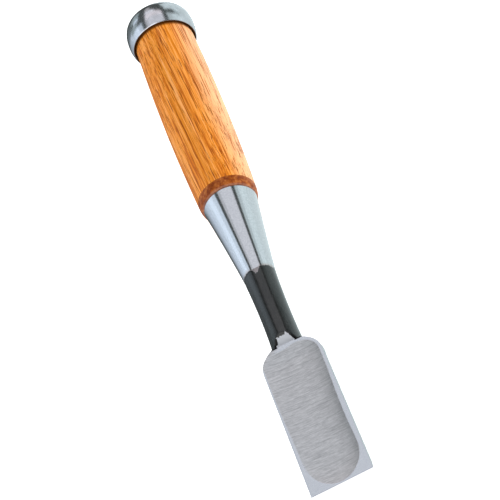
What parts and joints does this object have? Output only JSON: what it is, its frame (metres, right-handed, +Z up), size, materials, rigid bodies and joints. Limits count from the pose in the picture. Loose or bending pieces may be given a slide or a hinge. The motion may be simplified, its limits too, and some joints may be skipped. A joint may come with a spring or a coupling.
{
  "type": "bench chisel",
  "caption": "Japanese-style bench chisel with a hollow-ground back, conical steel ferrule, oak handle and steel striking hoop.",
  "frame": {"origin": "on the bench, under the centre of the tool's bounding box, with the tool lying at rest on the heel of its bevel and the front end of its handle", "axes": "+Z up, out of the bench; +Y along the tool from the cutting edge to the struck end, in plan; +X across the blade. The flat back faces up and leans 4.3 degrees towards the cutting edge"},
  "size_m": [0.0254, 0.2434, 0.0303],
  "materials": {
    "forged_iron": "black forge scale, satin, with the bevels ground bright",
    "tool_steel": "ground and lapped, with fine cross scratches in the hollow",
    "satin_steel": "satin turned steel",
    "oak": "clear lacquered red oak, straight grained, stained dark at the front end",
    "polished_steel": "polished steel"
  },
  "bodies": {
    "root": {"blade_body": "forged_iron", "steel_plate": "tool_steel", "ferrule": "satin_steel", "handle": "oak", "striking_hoop": "polished_steel"}
  },
  "joints": []
}
